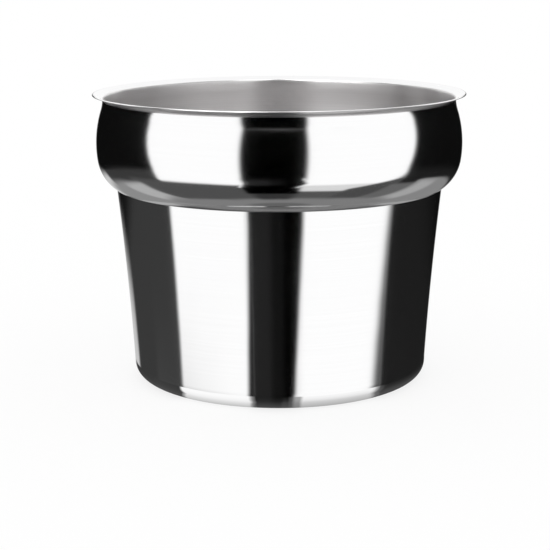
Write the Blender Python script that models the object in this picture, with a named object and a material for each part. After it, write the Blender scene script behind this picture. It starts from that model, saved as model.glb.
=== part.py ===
"""Open inset vessel of a soup kettle: a drawn cup, a spun collar and the weld that joins them.

Metres, +Z up. The origin is the centre of the flat base, on the surface that the vessel stands on.
Every piece is turned about Z from a section drawn as (radius, height).
"""
import math

import bmesh
import bpy
from mathutils import Vector

# Sheet and fit
SHEET = 0.001  # thickness of the stainless sheet
SEAT_GAP = 0.0003  # clearance between pieces that rest on each other

# Cup, measured on its outer face
BASE_DIAMETER = 0.2310  # wall line carried down to the table
MOUTH_DIAMETER = 0.2549  # wall at the crease, under the collar
CUP_HEIGHT = 0.1514  # table to crease
WALL_HOLLOW = 0.00105  # how far the wall sinks behind a straight taper, half way up
BASE_CORNER = 0.012  # radius between the wall and the base

# Collar, measured on its outer face
COLLAR_HEIGHT = 0.0733  # crease to the top of the lip
SHOULDER_OVERHANG = 0.0153  # from the crease out to the widest line
SHOULDER_RADIUS = 0.031  # rounded lower corner
WIDEST_HEIGHT = 0.034  # widest line above the crease
NECK_INSET = 0.0056  # from the widest line in to the neck
NECK_SWEEP = 0.030  # radius of the hollow sweep under the lip
LIP_WIDTH = 0.00785  # from the neck out to the lip's edge
LIP_RISE = 0.0028  # lip's edge above its root
LIP_ROOT_RADIUS = 0.002  # bend between the lip and the neck
CREASE_RADIUS = 0.0005  # bend between the shoulder and the skirt
SKIRT_DEPTH = 0.010  # skirt inside the mouth of the cup

# Weld
WELD_LEG = 0.0022  # height of the weld on the wall of the cup

# Facets
TURN_STEPS = 72
ARC_SAGITTA = 0.0001  # how far a chord may cut inside its arc
WALL_STEPS = 6


def arc(centre, start, end):
    """Points from start to end round centre, the shorter way."""
    radius = (start - centre).length
    first = math.atan2(start.y - centre.y, start.x - centre.x)
    last = math.atan2(end.y - centre.y, end.x - centre.x)
    sweep = math.remainder(last - first, math.tau)
    widest_step = 2 * math.acos(max(0.0, 1 - ARC_SAGITTA / radius))
    steps = max(2, math.ceil(abs(sweep) / widest_step))
    points = []
    for step in range(steps + 1):
        angle = first + sweep * step / steps
        points.append(centre + radius * Vector((math.cos(angle), math.sin(angle))))
    return points


def meeting_point(centre_a, radius_a, centre_b, radius_b):
    """Where two circles meet, on the left of the way from centre_a to centre_b."""
    reach = centre_b - centre_a
    span = reach.length
    along = (radius_a**2 - radius_b**2 + span**2) / (2 * span)
    aside = math.sqrt(radius_a**2 - along**2)
    left = Vector((-reach.y, reach.x)) / span
    return centre_a + along * reach / span + aside * left


def line_meets_circle(start, direction, centre, radius, farther):
    """The nearer or the farther point of a line that lies radius from centre."""
    offset = start - centre
    middle = -offset.dot(direction)
    half_chord = math.sqrt(middle**2 - offset.length_squared + radius**2)
    distance = middle + half_chord if farther else middle - half_chord
    return start + distance * direction


def inset(path, distance):
    """The path moved square to itself, to the right of its direction of travel."""
    moved = []
    for index, point in enumerate(path):
        before = path[max(index - 1, 0)]
        after = path[min(index + 1, len(path) - 1)]
        normals = []
        for start, end in ((before, point), (point, after)):
            if start is not end:
                travel = (end - start).normalized()
                normals.append(Vector((travel.y, -travel.x)))
        bisector = (normals[0] + normals[-1]).normalized()
        moved.append(point + distance * bisector / bisector.dot(normals[0]))
    return moved


def turned(name, section, colour, roughness, on_axis=False):
    """A closed solid from a section turned about Z. On the axis the section stays open."""
    mesh = bpy.data.meshes.new(name)
    outline = bmesh.new()
    corners = [outline.verts.new((point.x, 0.0, point.y)) for point in section]
    for corner, following in zip(corners, corners[1:]):
        outline.edges.new((corner, following))
    if not on_axis:
        outline.edges.new((corners[-1], corners[0]))
    bmesh.ops.spin(
        outline,
        geom=outline.verts[:] + outline.edges[:],
        cent=(0.0, 0.0, 0.0),
        axis=(0.0, 0.0, 1.0),
        angle=math.tau,
        steps=TURN_STEPS,
        use_merge=True,
    )
    bmesh.ops.remove_doubles(outline, verts=outline.verts[:], dist=1e-6)
    bmesh.ops.recalc_face_normals(outline, faces=outline.faces[:])
    outline.to_mesh(mesh)
    outline.free()
    mesh.shade_smooth()
    mesh.set_sharp_from_angle(angle=math.radians(30))
    mesh.materials.append(steel(name, colour, roughness))
    piece = bpy.data.objects.new(name, mesh)
    bpy.context.collection.objects.link(piece)
    return piece


def steel(name, colour, roughness):
    """Bare stainless steel of the given polish."""
    material = bpy.data.materials.new(name)
    material.use_nodes = True
    shader = material.node_tree.nodes["Principled BSDF"]
    shader.inputs["Base Color"].default_value = (*colour, 1.0)
    shader.inputs["Metallic"].default_value = 1.0
    shader.inputs["Roughness"].default_value = roughness
    return material


def wall_radius(height):
    """Outer face of the cup's wall: a taper, hollowed by a shallow parabola."""
    share = height / CUP_HEIGHT
    taper = BASE_DIAMETER / 2 + (MOUTH_DIAMETER - BASE_DIAMETER) / 2 * share
    return taper - 4 * WALL_HOLLOW * share * (1 - share)


def wall_slope(height):
    """Growth of the wall's radius with height."""
    share = height / CUP_HEIGHT
    rise = (MOUTH_DIAMETER - BASE_DIAMETER) / 2 - 4 * WALL_HOLLOW * (1 - 2 * share)
    return rise / CUP_HEIGHT


def inside_wall(height):
    """Where a piece that fits inside the cup stops, clear of its wall."""
    sheet_across = SHEET * math.hypot(1.0, wall_slope(height))
    return Vector((wall_radius(height) - sheet_across - SEAT_GAP, height))


def collar_path():
    """Outer face of the collar from the lip's edge down to the skirt's foot, and the shoulder's centre."""
    crease = Vector((MOUTH_DIAMETER / 2, CUP_HEIGHT))
    widest_radius = crease.x + SHOULDER_OVERHANG
    lip_slant = math.atan2(LIP_RISE, LIP_WIDTH)
    lip_run = Vector((math.cos(lip_slant), math.sin(lip_slant)))
    under_lip = Vector((lip_run.y, -lip_run.x))
    lip_root = Vector((widest_radius - NECK_INSET, crease.y + COLLAR_HEIGHT - SHEET * lip_run.x - LIP_RISE))
    lip_edge = lip_root + Vector((LIP_WIDTH, LIP_RISE))

    # The side is a wide arc that stands upright at the widest line. A hollow sweep runs on from it
    # and stands upright at the lip's root.
    side_height = lip_root.y - crease.y - WIDEST_HEIGHT
    side_radius = (side_height**2 + NECK_INSET**2) / (2 * NECK_INSET) - NECK_SWEEP
    side_centre = Vector((widest_radius - side_radius, crease.y + WIDEST_HEIGHT))
    sweep_centre = lip_root + Vector((NECK_SWEEP, 0.0))
    side_top = side_centre + side_radius * (sweep_centre - side_centre).normalized()
    shoulder_centre = meeting_point(side_centre, side_radius - SHOULDER_RADIUS, crease, SHOULDER_RADIUS)
    side_foot = side_centre + side_radius * (shoulder_centre - side_centre).normalized()

    root_centre = line_meets_circle(
        lip_root + LIP_ROOT_RADIUS * under_lip, lip_run, sweep_centre, NECK_SWEEP - LIP_ROOT_RADIUS, False
    )
    root_start = root_centre - LIP_ROOT_RADIUS * under_lip
    neck = sweep_centre + NECK_SWEEP * (root_centre - sweep_centre).normalized()

    skirt_foot = inside_wall(CUP_HEIGHT - SKIRT_DEPTH)
    skirt_rise = (inside_wall(CUP_HEIGHT) - skirt_foot).normalized()
    skirt_face = Vector((skirt_rise.y, -skirt_rise.x))
    bend_centre = line_meets_circle(
        skirt_foot + CREASE_RADIUS * skirt_face, skirt_rise, shoulder_centre,
        SHOULDER_RADIUS + CREASE_RADIUS, False
    )
    bend_start = shoulder_centre + SHOULDER_RADIUS * (bend_centre - shoulder_centre).normalized()
    bend_end = bend_centre - CREASE_RADIUS * skirt_face

    path = [lip_edge]
    path += arc(root_centre, root_start, neck)
    path += arc(sweep_centre, neck, side_top)[1:]
    path += arc(side_centre, side_top, side_foot)[1:]
    path += arc(shoulder_centre, side_foot, bend_start)[1:]
    path += arc(bend_centre, bend_start, bend_end)[1:]
    path.append(skirt_foot)
    return path, shoulder_centre


def tapered_body():
    """Deep-drawn cup. Its top edge is bevelled to lie along the shoulder that rests on it."""
    crease = Vector((MOUTH_DIAMETER / 2, CUP_HEIGHT))
    shoulder_normal = (crease - collar_path()[1]).normalized()
    top = CUP_HEIGHT + SEAT_GAP / shoulder_normal.y
    bevel_drop = SHEET * shoulder_normal.x / -shoulder_normal.y

    corner_slope = math.atan(wall_slope(BASE_CORNER))
    wall_foot_height = BASE_CORNER * (1 - math.sin(corner_slope))
    wall_foot = Vector((wall_radius(wall_foot_height), wall_foot_height))
    corner_centre = Vector((wall_foot.x - BASE_CORNER * math.cos(corner_slope), BASE_CORNER))
    corner_end = Vector((corner_centre.x, 0.0))

    outer = []
    for step in range(WALL_STEPS):
        height = top + (wall_foot_height - top) * step / WALL_STEPS
        outer.append(Vector((wall_radius(height), height)))
    outer += arc(corner_centre, wall_foot, corner_end)
    outer.append(Vector((0.0, 0.0)))
    inner = inset(outer, SHEET)
    inner[0] += bevel_drop * (inner[1] - inner[0]).normalized()
    turned("tapered_body", inner[::-1] + outer, (0.80, 0.80, 0.81), 0.08, on_axis=True)


def shoulder_collar():
    """Spun ring with the lip, the bulged side, the rounded shoulder and the skirt in one sheet."""
    outer = collar_path()[0]
    turned("shoulder_collar", outer + inset(outer, SHEET)[::-1], (0.82, 0.82, 0.83), 0.06)


def seam_weld():
    """Weld metal under the skirt's edge, from its inner face to the wall of the cup."""
    skirt_foot, skirt_inside = collar_path()[0][-1], inset(collar_path()[0], SHEET)[-1]
    weld_top = min(skirt_foot.y, skirt_inside.y) - SEAT_GAP
    section = [
        inside_wall(weld_top),
        inside_wall(weld_top - WELD_LEG),
        Vector((skirt_inside.x, weld_top)),
    ]
    turned("seam_weld", section, (0.55, 0.54, 0.53), 0.35)


for leftover in list(bpy.data.objects):
    bpy.data.objects.remove(leftover, do_unlink=True)

tapered_body()
shoulder_collar()
seam_weld()
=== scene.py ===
"""Looks of the soup kettle inset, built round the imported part. Metres, +Z up, in the part's frame."""
import math

import bpy
from mathutils import Euler, Matrix, Vector


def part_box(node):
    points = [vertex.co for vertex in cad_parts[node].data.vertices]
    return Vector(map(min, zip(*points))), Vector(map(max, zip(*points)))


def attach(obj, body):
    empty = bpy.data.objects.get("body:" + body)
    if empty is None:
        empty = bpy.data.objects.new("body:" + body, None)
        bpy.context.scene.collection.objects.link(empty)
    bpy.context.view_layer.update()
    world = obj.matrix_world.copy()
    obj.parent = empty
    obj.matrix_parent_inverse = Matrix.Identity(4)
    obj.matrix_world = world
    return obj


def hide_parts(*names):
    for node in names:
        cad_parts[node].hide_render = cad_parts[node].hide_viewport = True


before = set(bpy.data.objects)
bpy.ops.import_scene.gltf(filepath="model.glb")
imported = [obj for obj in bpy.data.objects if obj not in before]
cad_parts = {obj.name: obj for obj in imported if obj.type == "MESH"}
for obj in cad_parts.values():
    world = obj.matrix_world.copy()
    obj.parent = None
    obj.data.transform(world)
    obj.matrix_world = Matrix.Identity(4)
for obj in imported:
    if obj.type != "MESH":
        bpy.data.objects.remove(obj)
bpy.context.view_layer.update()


# Spun collar: the ring that the vessel hangs by, with the flared lip, the bulged side, the rounded
# shoulder and a skirt that slips into the cup, all spun over a former from one stainless sheet.
# It is buffed to a mirror outside and on the lip, and brushed satin inside and under the lip.

SHEET = 0.001  # thickness of the stainless sheet
HAIRLINE = 0.00005  # gap left between pieces that are pressed or welded together

BASE_RADIUS = 0.1155  # the cup's wall carried down to the table
MOUTH_RADIUS = 0.12745  # the cup's wall at the crease
CREASE_HEIGHT = 0.1514  # where the collar's shoulder meets the cup
WALL_HOLLOW = 0.00105  # how far the cup's wall sinks behind a straight taper, half way up

SHOULDER_OVERHANG = 0.0153  # from the crease out to the widest line
SHOULDER_RADIUS = 0.031  # rounded lower corner
WIDEST_HEIGHT = 0.034  # widest line above the crease
NECK_INSET = 0.0056  # from the widest line in to the neck
NECK_SWEEP = 0.030  # radius of the hollow sweep under the lip
LIP_RISE = 0.0028  # lip's edge above its root
LIP_ROOT_RADIUS = 0.002  # bend between the lip and the neck
LIP_BEVEL = 0.0001  # at the lower corner of the lip's edge, which is rounded over from above
LIP_POLISH = 0.45  # how far round the bend inside the lip its polish runs
CREASE_RADIUS = 0.0005  # bend between the shoulder and the skirt
SKIRT_DEPTH = 0.010  # skirt inside the mouth of the cup

TURN_STEPS = 256  # facets round the axis
ARC_SAGITTA = 0.000004  # how far a chord may cut inside its arc
LEAST_ARC_STEPS = 3
SEAM_WIDTH = 0.000001  # points nearer than this become one, where the turn and the section close
SHARP_CORNER = math.radians(40)  # edges that turn by more than this stay crisp
WAVER_DEPTH = 0.00005  # how far the hand-buffed sheet is out of true
WAVER_LENGTH = 0.045
WAVER_SEED = 3.0

MIRROR_COLOUR = (0.94, 0.94, 0.942)
SATIN_COLOUR = (0.86, 0.846, 0.846)
LINE_DRIFT = 0.3  # how far a polishing line changes on its way round
HAZE_SCALE = 14.0  # of the patches that are buffed a little more or less
HAZE_CHANGE = 0.1  # share of the roughness that they add or take
NOISE_SPAN = (0.3, 0.7)  # where most values of a noise lie

SIDES = ("Outside", "Inside", "Underneath")  # of a piece, each with a finish of its own
OUTSIDE, INSIDE, UNDERNEATH = range(len(SIDES))
WHOLE, NUMBER, VECTOR = "FunctionNodeIntegerMath", "ShaderNodeMath", "ShaderNodeVectorMath"
LEVEL = (1.0, 1.0, 0.0)  # takes the height out of a vector


def add(tree, kind, inputs=None, **settings):
    """A node with its settings and its inputs, each a value or the output that feeds it."""
    made = tree.nodes.new(kind)
    for name, value in settings.items():
        setattr(made, name, value)
    for socket, value in (inputs or {}).items():
        if isinstance(value, bpy.types.NodeSocket):
            tree.links.new(value, made.inputs[socket])
        else:
            made.inputs[socket].default_value = value
    return made


def calculate(tree, kind, operation, *values):
    """What a math node makes of its values, each a number or the output that feeds it."""
    return add(tree, kind, dict(enumerate(values)), operation=operation).outputs[0]


def arc(centre, start, end):
    """Points from start to end round centre, the shorter way."""
    radius = (start - centre).length
    first = math.atan2(start.y - centre.y, start.x - centre.x)
    last = math.atan2(end.y - centre.y, end.x - centre.x)
    sweep = math.remainder(last - first, math.tau)
    widest_step = 2 * math.acos(max(0.0, 1 - ARC_SAGITTA / radius))
    steps = max(LEAST_ARC_STEPS, math.ceil(abs(sweep) / widest_step))
    points = []
    for step in range(steps + 1):
        angle = first + sweep * step / steps
        points.append(centre + radius * Vector((math.cos(angle), math.sin(angle))))
    return points


def line_meets_circle(start, direction, centre, radius):
    """The first point along a line that lies radius from centre."""
    offset = start - centre
    middle = -offset.dot(direction)
    half_chord = math.sqrt(middle**2 - offset.length_squared + radius**2)
    return start + (middle - half_chord) * direction


def inner_face(path):
    """The other face of the sheet, to the left of a path that climbs its outer face."""
    moved = []
    for index, point in enumerate(path):
        before = path[max(index - 1, 0)]
        after = path[min(index + 1, len(path) - 1)]
        normals = []
        for start, end in ((before, point), (point, after)):
            if start is not end:
                travel = (end - start).normalized()
                normals.append(Vector((-travel.y, travel.x)))
        bisector = (normals[0] + normals[-1]).normalized()
        moved.append(point + SHEET * bisector / bisector.dot(normals[0]))
    return moved


def wall_radius(height):
    """Outer face of the cup's wall: a taper, hollowed by a shallow parabola."""
    share = height / CREASE_HEIGHT
    taper = BASE_RADIUS + (MOUTH_RADIUS - BASE_RADIUS) * share
    return taper - 4 * WALL_HOLLOW * share * (1 - share)


def wall_slope(height):
    """Growth of the wall's radius with height."""
    share = height / CREASE_HEIGHT
    return (MOUTH_RADIUS - BASE_RADIUS - 4 * WALL_HOLLOW * (1 - 2 * share)) / CREASE_HEIGHT


def inside_wall(height):
    """Where a piece that fits inside the cup stops, a hairline clear of its wall."""
    sheet_across = SHEET * math.hypot(1.0, wall_slope(height))
    return Vector((wall_radius(height) - sheet_across - HAIRLINE, height))


def turning_tree():
    """A lathe in nodes: turns a section about Z, closes it and gives each side its own finish."""
    tree = bpy.data.node_groups.new("turning", "GeometryNodeTree")
    inputs = [
        ("Section", "NodeSocketGeometry"), ("Turn Steps", "NodeSocketInt"),
        ("Waver Depth", "NodeSocketFloat"), ("Waver Length", "NodeSocketFloat"),
        ("Seed", "NodeSocketFloat"),
    ]
    inputs += [(side, "NodeSocketMaterial") for side in SIDES]
    for label, kind in inputs:
        tree.interface.new_socket(label, in_out="INPUT", socket_type=kind)
    tree.interface.new_socket("Sheet", in_out="OUTPUT", socket_type="NodeSocketGeometry")
    given = add(tree, "NodeGroupInput").outputs

    count = add(tree, "GeometryNodeAttributeDomainSize", {0: given["Section"]}).outputs["Point Count"]
    rows = calculate(tree, WHOLE, "ADD", given["Turn Steps"], 1)
    grid = add(tree, "GeometryNodeMeshGrid", {"Vertices X": rows, "Vertices Y": count}).outputs["Mesh"]
    index = add(tree, "GeometryNodeInputIndex").outputs[0]

    # A point of the grid stands for one place on the section and one step of the turn.
    step = calculate(tree, WHOLE, "DIVIDE_FLOOR", index, count)
    place = calculate(tree, WHOLE, "FLOORED_MODULO", index, count)
    position = add(tree, "GeometryNodeInputPosition").outputs[0]
    on_section = add(
        tree, "GeometryNodeSampleIndex", {"Geometry": given["Section"], "Value": position, "Index": place},
        data_type="FLOAT_VECTOR", domain="POINT",
    ).outputs[0]
    turn = calculate(tree, NUMBER, "DIVIDE", step, given["Turn Steps"])
    angle = calculate(tree, NUMBER, "MULTIPLY", turn, math.tau)
    turned = add(
        tree, "ShaderNodeVectorRotate", {"Vector": on_section, "Angle": angle}, rotation_type="Z_AXIS"
    ).outputs[0]

    # The sheet wavers in and out a little, nearly alike on both of its faces.
    reach = calculate(tree, VECTOR, "DIVIDE", turned, given["Waver Length"])
    noise = add(
        tree, "ShaderNodeTexNoise", {"Vector": reach, "W": given["Seed"], "Scale": 1.0, "Detail": 1.0},
        noise_dimensions="4D",
    ).outputs[0]
    swing = add(tree, "ShaderNodeMapRange", {"Value": noise, "To Min": -1.0, "To Max": 1.0}).outputs[0]
    depth = calculate(tree, NUMBER, "MULTIPLY", swing, given["Waver Depth"])
    level = calculate(tree, VECTOR, "MULTIPLY", turned, LEVEL)
    outward = calculate(tree, VECTOR, "NORMALIZE", level)
    waver = add(tree, VECTOR, {0: outward, "Scale": depth}, operation="SCALE").outputs[0]
    shaped = add(
        tree, "GeometryNodeSetPosition", {"Geometry": grid, "Position": turned, "Offset": waver}
    ).outputs[0]

    # Each face takes the side of the stretch of section that it was turned from.
    stretches = calculate(tree, WHOLE, "SUBTRACT", count, 1)
    stretch = calculate(tree, WHOLE, "FLOORED_MODULO", index, stretches)
    mark = add(tree, "GeometryNodeInputNamedAttribute", {"Name": "side"}, data_type="INT").outputs[0]
    side = add(
        tree, "GeometryNodeSampleIndex", {"Geometry": given["Section"], "Value": mark, "Index": stretch},
        data_type="INT", domain="POINT",
    ).outputs[0]
    marked = add(
        tree, "GeometryNodeStoreNamedAttribute", {"Geometry": shaped, "Name": "side", "Value": side},
        data_type="INT", domain="FACE",
    ).outputs[0]
    closed = add(
        tree, "GeometryNodeMergeByDistance", {"Geometry": marked, "Distance": SEAM_WIDTH}
    ).outputs[0]
    smooth = add(tree, "GeometryNodeSetShadeSmooth", {"Geometry": closed}).outputs[0]
    sheet = add(tree, "GeometryNodeRealizeInstances", {"Geometry": smooth}).outputs[0]
    for number, label in enumerate(SIDES):
        chosen = add(
            tree, "FunctionNodeCompare", {2: mark, 3: number}, data_type="INT", operation="EQUAL"
        ).outputs[0]
        sheet = add(
            tree, "GeometryNodeSetMaterial",
            {"Geometry": sheet, "Selection": chosen, "Material": given[label]},
        ).outputs[0]
    add(tree, "NodeGroupOutput", {"Sheet": sheet})
    return tree


def turned_piece(name, stretches, finishes, waver_depth, waver_length):
    """A plain mesh turned about Z from stretches of section, each a list of points and its side."""
    points = []
    marks = []
    for stretch, side in stretches:
        points += stretch
        marks += [side] * len(stretch)
    section = bpy.data.meshes.new(name)
    section.from_pydata([(point.x, 0.0, point.y) for point in points], [], [])
    section.attributes.new("side", "INT", "POINT").data.foreach_set("value", marks)
    piece = bpy.data.objects.new(name, section)
    bpy.context.collection.objects.link(piece)

    lathe = piece.modifiers.new("turning", "NODES")
    lathe.node_group = TURNING
    settings = {
        "Turn Steps": TURN_STEPS, "Waver Depth": waver_depth, "Waver Length": waver_length,
        "Seed": WAVER_SEED,
    }
    settings.update(zip(SIDES, finishes))
    for label, value in settings.items():
        lathe[TURNING.interface.items_tree[label].identifier] = value
    evaluated = piece.evaluated_get(bpy.context.evaluated_depsgraph_get())
    mesh = bpy.data.meshes.new_from_object(evaluated)
    piece.modifiers.remove(lathe)
    piece.data = mesh
    bpy.data.meshes.remove(section)
    mesh.name = name
    mesh.attributes.remove(mesh.attributes["side"])
    mesh.set_sharp_from_angle(angle=SHARP_CORNER)
    return piece


def steel_finish(name, colour, roughness, line_spacing, line_depth, contrast, stretch):
    """Stainless steel with the fine lines that a buff or a belt leaves round the axis it turns on."""
    material = bpy.data.materials.new(name)
    material.use_nodes = True
    tree = material.node_tree
    shader = tree.nodes["Principled BSDF"]
    shader.inputs["Metallic"].default_value = 1.0

    # A brushed surface draws a highlight out across its lines, a quarter turn from their direction.
    shader.inputs["Anisotropic"].default_value = stretch
    shader.inputs["Anisotropic Rotation"].default_value = 0.25
    round_axis = add(tree, "ShaderNodeTangent", direction_type="RADIAL", axis="Z").outputs[0]
    tree.links.new(round_axis, shader.inputs["Tangent"])

    # Coordinates run across the lines by radius and height, and along them by heading.
    place = add(tree, "ShaderNodeTexCoord").outputs["Object"]
    level = calculate(tree, VECTOR, "MULTIPLY", place, LEVEL)
    radius = add(tree, VECTOR, {0: level}, operation="LENGTH").outputs["Value"]
    heading = calculate(tree, VECTOR, "NORMALIZE", level)
    height = add(tree, "ShaderNodeSeparateXYZ", {0: place}).outputs["Z"]
    bearing = add(tree, "ShaderNodeSeparateXYZ", {0: heading}).outputs
    across = add(tree, "ShaderNodeCombineXYZ", {"X": radius, "Y": height}).outputs[0]
    east = calculate(tree, NUMBER, "MULTIPLY", bearing["X"], LINE_DRIFT)
    north = calculate(tree, NUMBER, "MULTIPLY", bearing["Y"], LINE_DRIFT)
    along = add(tree, "ShaderNodeCombineXYZ", {"Z": east}).outputs[0]
    fine = calculate(tree, VECTOR, "MULTIPLY_ADD", across, (1 / line_spacing,) * 3, along)
    lines = add(
        tree, "ShaderNodeTexNoise", {"Vector": fine, "W": north, "Scale": 1.0, "Detail": 2.0},
        noise_dimensions="4D",
    ).outputs[0]
    haze = add(
        tree, "ShaderNodeTexNoise", {"Vector": place, "Scale": HAZE_SCALE, "Detail": 2.0}
    ).outputs[0]

    dulled = [channel * (1 - contrast) for channel in colour]
    tone = add(tree, "ShaderNodeValToRGB", {0: lines})
    for stop, position, shade in zip(tone.color_ramp.elements, NOISE_SPAN, (dulled, colour)):
        stop.position = position
        stop.color = (*shade, 1.0)
    tree.links.new(tone.outputs[0], shader.inputs["Base Color"])

    low, high = NOISE_SPAN
    buffed = add(
        tree, "ShaderNodeMapRange",
        {"Value": lines, "From Min": low, "From Max": high,
         "To Min": roughness * (1 + contrast), "To Max": roughness * (1 - contrast)},
    ).outputs[0]
    hazed = add(
        tree, "ShaderNodeMapRange",
        {"Value": haze, "From Min": low, "From Max": high,
         "To Min": 1 - HAZE_CHANGE, "To Max": 1 + HAZE_CHANGE},
    ).outputs[0]
    worn = calculate(tree, NUMBER, "MULTIPLY", buffed, hazed)
    tree.links.new(worn, shader.inputs["Roughness"])

    grooves = add(tree, "ShaderNodeBump", {"Strength": 1.0, "Distance": line_depth, "Height": lines})
    tree.links.new(grooves.outputs[0], shader.inputs["Normal"])
    return material


TURNING = turning_tree()
COLLAR_MIRROR = steel_finish(
    "collar_mirror", MIRROR_COLOUR, roughness=0.09, line_spacing=0.0006, line_depth=0.0000001,
    contrast=0.02, stretch=0.0,
)
SATIN_STEEL = steel_finish(
    "satin_steel", SATIN_COLOUR, roughness=0.38, line_spacing=0.0003, line_depth=0.000001,
    contrast=0.06, stretch=1.0,
)

lip_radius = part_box("shoulder_collar")[1].x
lip_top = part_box("shoulder_collar")[1].z
crease = Vector((MOUTH_RADIUS, CREASE_HEIGHT))
widest_radius = crease.x + SHOULDER_OVERHANG
neck_radius = widest_radius - NECK_INSET
lip_slant = math.atan2(LIP_RISE, lip_radius - neck_radius)
lip_run = Vector((math.cos(lip_slant), math.sin(lip_slant)))
under_lip = Vector((lip_run.y, -lip_run.x))
lip_edge = Vector((lip_radius, lip_top - SHEET * lip_run.x))
lip_root = Vector((neck_radius, lip_edge.y - LIP_RISE))

# The side is a wide arc that stands upright at the widest line. A hollow sweep runs on from it and
# stands upright at the lip's root.
side_height = lip_root.y - crease.y - WIDEST_HEIGHT
side_radius = (side_height**2 + NECK_INSET**2) / (2 * NECK_INSET) - NECK_SWEEP
side_centre = Vector((widest_radius - side_radius, crease.y + WIDEST_HEIGHT))
sweep_centre = lip_root + Vector((NECK_SWEEP, 0.0))
side_top = side_centre + side_radius * (sweep_centre - side_centre).normalized()

# The shoulder's arc runs on from the side's and passes through the crease.
to_crease = crease - side_centre
centres_apart = side_radius - SHOULDER_RADIUS
along_way = (centres_apart**2 - SHOULDER_RADIUS**2 + to_crease.length_squared) / (2 * to_crease.length)
aside_way = math.sqrt(centres_apart**2 - along_way**2)
way = to_crease.normalized()
shoulder_centre = side_centre + along_way * way + aside_way * Vector((-way.y, way.x))
side_foot = side_centre + side_radius * (shoulder_centre - side_centre).normalized()

# A small bend turns the sweep out into the lip.
root_centre = line_meets_circle(
    lip_root + LIP_ROOT_RADIUS * under_lip, lip_run, sweep_centre, NECK_SWEEP - LIP_ROOT_RADIUS
)
root_end = root_centre - LIP_ROOT_RADIUS * under_lip
neck = sweep_centre + NECK_SWEEP * (root_centre - sweep_centre).normalized()

# Another turns the shoulder down into the skirt.
skirt_foot = inside_wall(CREASE_HEIGHT - SKIRT_DEPTH)
skirt_rise = (inside_wall(CREASE_HEIGHT) - skirt_foot).normalized()
skirt_face = Vector((skirt_rise.y, -skirt_rise.x))
bend_centre = line_meets_circle(
    skirt_foot + CREASE_RADIUS * skirt_face, skirt_rise, shoulder_centre, SHOULDER_RADIUS + CREASE_RADIUS
)
bend_end = shoulder_centre + SHOULDER_RADIUS * (bend_centre - shoulder_centre).normalized()
bend_start = bend_centre - CREASE_RADIUS * skirt_face

# The lip's edge is rounded over from above.
edge_radius = SHEET - LIP_BEVEL
edge_start = lip_edge - LIP_BEVEL * lip_run
lip_corner = lip_edge - LIP_BEVEL * under_lip
edge_centre = lip_corner - edge_radius * lip_run
lip_round = [edge_start] + arc(edge_centre, lip_corner, edge_centre - edge_radius * under_lip)

skirt_and_bend = [skirt_foot] + arc(bend_centre, bend_start, bend_end)
shoulder_and_side = arc(shoulder_centre, bend_end, side_foot)[1:]
shoulder_and_side += arc(side_centre, side_foot, side_top)[1:]
shoulder_and_side += arc(sweep_centre, side_top, neck)[1:]
root_bend = arc(root_centre, neck, root_end)[1:]
root_and_lip = root_bend + [lip_edge - edge_radius * lip_run]
collar_inside = inner_face(skirt_and_bend + shoulder_and_side + root_and_lip)[::-1]
polished_points = 1 + round(LIP_POLISH * len(root_bend))
spun_collar = turned_piece(
    "spun_collar",
    (
        (skirt_and_bend, INSIDE),
        (shoulder_and_side[:-1], OUTSIDE),
        (shoulder_and_side[-1:] + root_and_lip[:-1], INSIDE),
        (lip_round[:-1] + collar_inside[:polished_points], OUTSIDE),
        (collar_inside[polished_points:] + [skirt_foot], INSIDE),
    ),
    (COLLAR_MIRROR, SATIN_STEEL, SATIN_STEEL), WAVER_DEPTH, WAVER_LENGTH,
)
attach(spun_collar, "root")
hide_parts("shoulder_collar")


# Drawn cup: the wall and the flat base of the vessel, deep-drawn to a taper from one stainless disc.
# It is buffed outside, a little more sharply than the collar, brushed satin inside and turned flat
# underneath. Its mouth slips over the collar's skirt, with its edge bevelled to lie along the shoulder.

BASE_CORNER = 0.012  # radius between the wall and the base
WALL_STEPS = 48

CUP_MIRROR = steel_finish(
    "cup_mirror", MIRROR_COLOUR, roughness=0.08, line_spacing=0.0006, line_depth=0.0000001,
    contrast=0.02, stretch=0.0,
)
TURNED_STEEL = steel_finish(
    "turned_steel", SATIN_COLOUR, roughness=0.30, line_spacing=0.0007, line_depth=0.00001,
    contrast=0.12, stretch=0.7,
)

shoulder_normal = (crease - shoulder_centre).normalized()
cup_top = CREASE_HEIGHT + HAIRLINE / shoulder_normal.y
bevel_drop = SHEET * shoulder_normal.x / -shoulder_normal.y

corner_slope = math.atan(wall_slope(BASE_CORNER))
wall_foot_height = BASE_CORNER * (1 - math.sin(corner_slope))
wall_foot = Vector((wall_radius(wall_foot_height), wall_foot_height))
corner_centre = Vector((wall_foot.x - BASE_CORNER * math.cos(corner_slope), BASE_CORNER))
corner_start = Vector((corner_centre.x, 0.0))

cup_underside = [Vector((0.0, 0.0)), corner_start]
cup_outside = arc(corner_centre, corner_start, wall_foot)[1:]
for wall_step in range(1, WALL_STEPS + 1):
    wall_height = wall_foot_height + (cup_top - wall_foot_height) * wall_step / WALL_STEPS
    cup_outside.append(Vector((wall_radius(wall_height), wall_height)))
cup_inside = inner_face(cup_underside + cup_outside)[::-1]
cup_inside[0] += bevel_drop * (cup_inside[1] - cup_inside[0]).normalized()
drawn_cup = turned_piece(
    "drawn_cup",
    (
        (cup_underside[:1], UNDERNEATH),
        (cup_underside[1:] + cup_outside[:-1], OUTSIDE),
        (cup_outside[-1:] + cup_inside, INSIDE),
    ),
    (CUP_MIRROR, SATIN_STEEL, TURNED_STEEL), WAVER_DEPTH, WAVER_LENGTH,
)
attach(drawn_cup, "root")
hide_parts("tapered_body")


# Seam weld: a thin fillet of weld metal that seals the lap, from the skirt's lower edge to the wall.
# It is run round the inside and ground smooth, so only a slight waver of its width is left.

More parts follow.
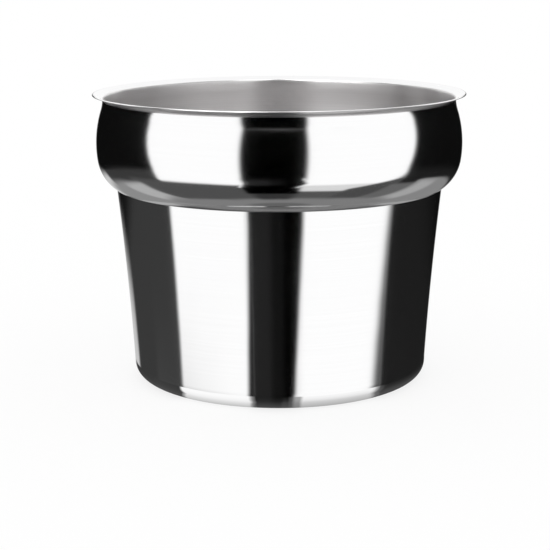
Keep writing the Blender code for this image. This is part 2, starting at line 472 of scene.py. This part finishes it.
WELD_LEG = 0.0022  # height of the weld on the wall of the cup
WELD_SWELL = Vector((-0.00012, -0.00006))  # from a flat face between its edges to its middle
WELD_WAVER_DEPTH = 0.00006
WELD_WAVER_LENGTH = 0.004
WELD_COLOUR = (0.74, 0.72, 0.70)

WELD_STEEL = steel_finish(
    "weld_steel", WELD_COLOUR, roughness=0.34, line_spacing=0.0005, line_depth=0.00003,
    contrast=0.15, stretch=0.4,
)

skirt_inner_foot = collar_inside[-1]
weld_top = min(skirt_foot.y, skirt_inner_foot.y) - HAIRLINE
weld_root = inside_wall(weld_top)
weld_toe = inside_wall(weld_top - WELD_LEG)
weld_brow = Vector((skirt_inner_foot.x, weld_top))
weld_middle = (weld_toe + weld_brow) / 2 + WELD_SWELL
ground_weld = turned_piece(
    "ground_weld",
    (([weld_root, weld_brow, weld_middle, weld_toe, weld_root], INSIDE),),
    (WELD_STEEL, WELD_STEEL, WELD_STEEL), WELD_WAVER_DEPTH, WELD_WAVER_LENGTH,
)
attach(ground_weld, "root")
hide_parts("seam_weld")


# Studio: a white floor in a white light tent, with a small dish round the foot of the vessel and cards
# near it. The tent with its dark gaps and grey ground, the dish and the cards show in the steel alone.

FLOOR_SIZE = 60.0
SHADOW_SHARE = 0.18  # how much of the shadow the white floor keeps

TENT_RADIUS = 8.0
TENT_STEP = 1.5  # degrees
TENT_LIGHT = 1.06

# Patches that cover the white tent, later ones over earlier ones, in degrees: azimuth 0 is towards the
# camera and grows to its right. Brightness, softness, then the left, right, lower and upper edges. An
# edge that leans has two values: a left or a right edge at the two elevations of LEAN_ELEVATIONS, and
# a lower or an upper edge at the patch's left and right.
LEAN_ELEVATIONS = (-45, 45)
TENT_PATCHES = (
    (2.7, 18, -80, -18, 38, 120),  # brighter roof on the left
    (3.5, 12, -85, -20, 70, 120),  # its brightest part
    (2.0, 12, 20, 85, 72, 120),  # brighter roof on the right
    (0.8, 12, 36, 125, 30, 72),  # dimmer part below it
    (0.3, 6, -24, 18, 30, 88),  # roof in front
    (0.042, 2.5, -200, (-76.5, -96.9), -70, (6, 21)),  # gap on the left
    (0.004, 2.5, -200, (-76.5, -96.9), -12.5, (6, 21)),  # darker part of it
    (0.013, 5, (76.3, 104.8), 200, -70, (21, 6)),  # gap on the right
    (0.004, 5, (76.3, 104.8), 200, -12.5, (21, 6)),  # darker part of it
    (0.6, 6, -220, -147, -40, (3, -15)),  # low light behind on the left
    (0.0, 8, -110, -80, 28, 52),  # flag above the gap on the left
    (0.4, 8, 76, 108, 28, 75),  # flag above the gap on the right
    (0.9, 14, -220, -169, -30, 90),  # backdrop, left half
    (0.9, 14, 169, 220, -30, 90),  # backdrop, right half
    (0.72, 6, 8, 75, -60, -27),  # dimmer foot of the tent on the right
    (0.08, 7, -112, 0, -99, (-20, -29)),  # ground in front on the left
    (0.09, 5, 0, 112, -99, -43),  # ground in front on the right
    (0.07, 5, 48, 86, -60, (-39, -15.9)),  # the same, where it climbs to the gap
    (0.13, 6, 80, 110, -66, (-30, -28)),  # the same, in front of the gap
    (0.27, 8, -200, -103, -99, (-13, -28)),  # ground on the left
    (0.24, 3, 103, 200, -99, (-24, -13.2)),  # ground on the right
    (0.44, 7, -131, -105, -50, -28),  # its brightest part on the left
    (0.38, 9, 107, 128, -52, -25),  # its brightest part on the right
    (0.21, 8, -135, -60, -99, (-50, -66)),  # ground below on the left
    (0.21, 8, 60, 135, -99, (-64, -50)),  # ground below on the right
    (0.21, 11, -200, 200, -99, (-69, -61)),  # ground below
    (0.13, 6, -200, 200, -99, -80),  # its darker middle
    (0.035, 12, -22, 13, -68, -40),  # foot of the gap in front
    (0.0, 3, -23.8, (16, 18.6), -21, 30),  # gap in front
    (0.0, 3, -24.8, 14.2, -50, -24.7),  # lower part of it
    (0.0, 3, -20.5, 10, -29, -17.5),  # narrow part, that the cup mirrors
    (0.007, 6, -20.5, 3, -26, -19),  # lighter part of that
    (0.017, 6, -20.5, -6, -26, -19),  # its lightest part
)

# The dish gives the base corner the stripes that the wall above mirrors, and a grey painted shadow where
# it curls under.
FOOT_RADIUS = 0.1185
FOOT_FADE = 0.106  # inside this its floor is mostly the grey of the painted shadow
FOOT_FLOOR = -0.001
FOOT_RIM = 0.0105
# Grey of the painted shadow on the dish's floor under the vessel, which the base corner mirrors.
FOOT_SHADOW_GREY = 0.12
FOOT_TURN = 2.085  # degrees that the wall of the vessel mirrors for each degree round the dish
FOOT_FLOOR_EASE = 0.00007  # how fast that falls off towards the sides
FOOT_RIM_EASE = 0.00005
FOOT_ELEVATION = -20.8  # of the stripes that the wall mirrors in front
FOOT_CLIMB = 1.5  # degrees that they stand higher at the sides
SIDE_AZIMUTH = 90

# Rows of the dish: reach, height, ease, and the share of the stripes that it shows on the left and on
# the right. The painted shadow's grey takes the rest.
FOOT_ROWS = (
    (0.0, FOOT_FLOOR, FOOT_FLOOR_EASE, 0.4, 0.3),
    (FOOT_FADE, FOOT_FLOOR, FOOT_FLOOR_EASE, 0.4, 0.3),
    (FOOT_RADIUS, FOOT_FLOOR, FOOT_FLOOR_EASE, 0.85, 0.6),
    (FOOT_RADIUS, FOOT_RIM, FOOT_RIM_EASE, 1.0, 0.95),
)

BACK_CARD_WIDTH = 0.34
BACK_CARD_HEIGHTS = (-0.3, 0.7)
BACK_CARD_DISTANCE = 0.35  # behind the vessel's axis
BACK_CARD_LIGHT = 1.0

EDGE_CARD_DISTANCE = 1.0  # of the cards that make the edges of the gap in front lean
EDGE_CARD_HEIGHTS = (-0.42, -0.21, -0.12)
EDGE_CARD_SOFTNESS = 3.0  # degrees

# Edge cards: name, the way out of the gap, the gap's edge at those heights, and where the card ends
# inside the gap, with its light there.
EDGE_CARDS = (
    ("left_card", -1, (-24.1, -21.2, -22.6), -19.0, 0.014),
    ("right_card", 1, (9.8, 16.1, 13.5), 5.0, 0.0),
)

scene = bpy.context.scene
scene.view_settings.view_transform = "Standard"
surround = bpy.data.worlds.new("white_surround")
surround.use_nodes = True
surround.node_tree.nodes["Background"].inputs["Color"].default_value = (1.0, 1.0, 1.0, 1.0)
surround.node_tree.nodes["Background"].inputs["Strength"].default_value = 1.0
surround.cycles_visibility.glossy = False
scene.world = surround


def floor_paint():
    """White to the camera, with a share of the vessel's shadow."""
    material = bpy.data.materials.new("floor_paint")
    material.use_nodes = True
    tree = material.node_tree
    tree.nodes.clear()
    white = add(tree, "ShaderNodeEmission", {"Color": (1.0, 1.0, 1.0, 1.0), "Strength": 1.0}).outputs[0]
    matt = add(tree, "ShaderNodeBsdfDiffuse", {"Color": (1.0, 1.0, 1.0, 1.0)}).outputs[0]
    mixed = add(tree, "ShaderNodeMixShader", {0: SHADOW_SHARE, 1: white, 2: matt}).outputs[0]
    add(tree, "ShaderNodeOutputMaterial", {0: mixed})
    return material


def tent_cloth():
    """Glows on its inner side, as brightly as each point's own light says."""
    material = bpy.data.materials.new("tent_cloth")
    material.use_nodes = True
    tree = material.node_tree
    tree.nodes.clear()
    light = add(tree, "ShaderNodeAttribute", attribute_name="light").outputs["Fac"]
    glow = add(tree, "ShaderNodeEmission", {"Strength": light}).outputs[0]
    clear = add(tree, "ShaderNodeBsdfTransparent").outputs[0]
    inner_side = add(tree, "ShaderNodeNewGeometry").outputs["Backfacing"]
    seen = add(tree, "ShaderNodeMixShader", {0: inner_side, 1: clear, 2: glow}).outputs[0]
    add(tree, "ShaderNodeOutputMaterial", {0: seen})
    material.cycles.emission_sampling = "NONE"
    return material


def edge_at(edge, share):
    """Where an edge lies: one that leans, at a share of the way between its two values."""
    if isinstance(edge, tuple):
        return edge[0] + (edge[1] - edge[0]) * share
    return edge


def past_edge(distance, softness):
    """0 before an edge and 1 past it, blurred over the softness."""
    share = min(max(distance / softness + 0.5, 0.0), 1.0)
    return share * share * (3 - 2 * share)


def tent_light(azimuth, elevation):
    """Brightness of the tent in one direction."""
    light = TENT_LIGHT
    lowest, highest = LEAN_ELEVATIONS
    climb = (elevation - lowest) / (highest - lowest)
    for brightness, softness, left, right, lower, upper in TENT_PATCHES:
        left_edge = edge_at(left, climb)
        right_edge = edge_at(right, climb)
        across = (azimuth - left_edge) / (right_edge - left_edge)
        cover = past_edge(azimuth - left_edge, softness) * past_edge(right_edge - azimuth, softness)
        cover *= past_edge(elevation - edge_at(lower, across), softness)
        cover *= past_edge(edge_at(upper, across) - elevation, softness)
        light += (brightness - light) * cover
    return light


def studio_point(azimuth, reach, height):
    """A point at an azimuth, at a reach from the vessel's axis."""
    turn = math.radians(azimuth)
    return (reach * math.sin(turn), -reach * math.cos(turn), height)


def stage_grid(name, rows, material):
    """A sheet of the studio through rows of points, each with its light."""
    points = []
    lights = []
    for row in rows:
        for point, light in row:
            points.append(point)
            lights.append(light)
    width = len(rows[0])
    faces = []
    for corner in range(len(points) - width):
        if (corner + 1) % width:
            faces.append((corner, corner + 1, corner + width + 1, corner + width))
    mesh = bpy.data.meshes.new(name)
    mesh.from_pydata(points, [], faces)
    mesh.attributes.new("light", "FLOAT", "POINT").data.foreach_set("value", lights)
    mesh.materials.append(material)
    made = bpy.data.objects.new(name, mesh)
    bpy.context.collection.objects.link(made)
    made.visible_diffuse = False
    return made


def mirrored_sheet(name, rows):
    """A glowing sheet that shows in the steel alone."""
    sheet = stage_grid(name, rows, TENT_CLOTH)
    sheet.visible_camera = False
    sheet.visible_shadow = False
    sheet.visible_transmission = False


half_floor = FLOOR_SIZE / 2
floor_rows = []
for depth in (-half_floor, half_floor):
    floor_rows.append([((side, depth, 0.0), 1.0) for side in (-half_floor, half_floor)])
floor = stage_grid("floor", floor_rows, floor_paint())
floor.visible_glossy = False

TENT_CLOTH = tent_cloth()
azimuths = [-180 + column * TENT_STEP for column in range(math.ceil(360 / TENT_STEP) + 1)]
tent_rows = []
for tent_row in range(math.ceil(180 / TENT_STEP) + 1):
    elevation = -90 + tent_row * TENT_STEP
    height = TENT_RADIUS * math.sin(math.radians(elevation))
    reach = TENT_RADIUS * math.cos(math.radians(elevation))
    tent_rows.append([])
    for azimuth in azimuths:
        tent_rows[-1].append((studio_point(azimuth, reach, height), tent_light(azimuth, elevation)))
mirrored_sheet("light_tent", tent_rows)

foot_rows = []
for reach, height, ease, left_share, right_share in FOOT_ROWS:
    foot_rows.append([])
    for azimuth in azimuths:
        mirrored = max(-180, min(180, FOOT_TURN * azimuth - ease * azimuth**3))
        light = tent_light(mirrored, FOOT_ELEVATION + FOOT_CLIMB * (mirrored / SIDE_AZIMUTH)**2)
        share = right_share if azimuth > 0 else left_share
        point = studio_point(azimuth, reach, height)
        # The painted shadow's grey fills the share that the stripes leave.
        foot_rows[-1].append((point, FOOT_SHADOW_GREY + (light - FOOT_SHADOW_GREY) * share))
mirrored_sheet("foot_dish_painted_shadow", foot_rows)

half_card = BACK_CARD_WIDTH / 2
back_rows = []
for height in BACK_CARD_HEIGHTS:
    corners = [(side, BACK_CARD_DISTANCE, height) for side in (half_card, -half_card)]
    back_rows.append([(corner, BACK_CARD_LIGHT) for corner in corners])
mirrored_sheet("back_card", back_rows)

for name, outward, edge, card_end, dim in EDGE_CARDS:
    soft = outward * EDGE_CARD_SOFTNESS / 2
    card_rows = []
    for azimuth, height in zip(edge, EDGE_CARD_HEIGHTS):
        columns = sorted([(card_end, dim), (azimuth - soft, dim), (azimuth + soft, TENT_LIGHT)])
        card_rows.append([])
        for column, light in columns:
            card_rows[-1].append((studio_point(column, EDGE_CARD_DISTANCE, height), light))
    mirrored_sheet(name, card_rows)


# Camera: at the photograph's height, distance and angle, found from the outline of the vessel.
# It looks down, a touch to the left, and leans over a little.

CAMERA_DISTANCE = 1.2
CAMERA_HEIGHT = 0.3388
CAMERA_PITCH = math.radians(12.252)  # looks down by this much
CAMERA_YAW = math.radians(0.175)  # and this much to the left
CAMERA_ROLL = math.radians(-0.2)  # and leans over to its right
LENS = 100.55  # millimetres, as is the sensor
SENSOR_WIDTH = 36.0

view = bpy.data.cameras.new("camera")
view.lens = LENS
view.sensor_width = SENSOR_WIDTH
camera = bpy.data.objects.new("camera", view)
camera.location = (0.0, -CAMERA_DISTANCE, CAMERA_HEIGHT)
upright = Euler((math.pi / 2 - CAMERA_PITCH, 0.0, CAMERA_YAW)).to_matrix()
leaning = upright @ Matrix.Rotation(CAMERA_ROLL, 3, "Z")
camera.rotation_euler = leaning.to_euler()
bpy.context.collection.objects.link(camera)
scene.camera = camera
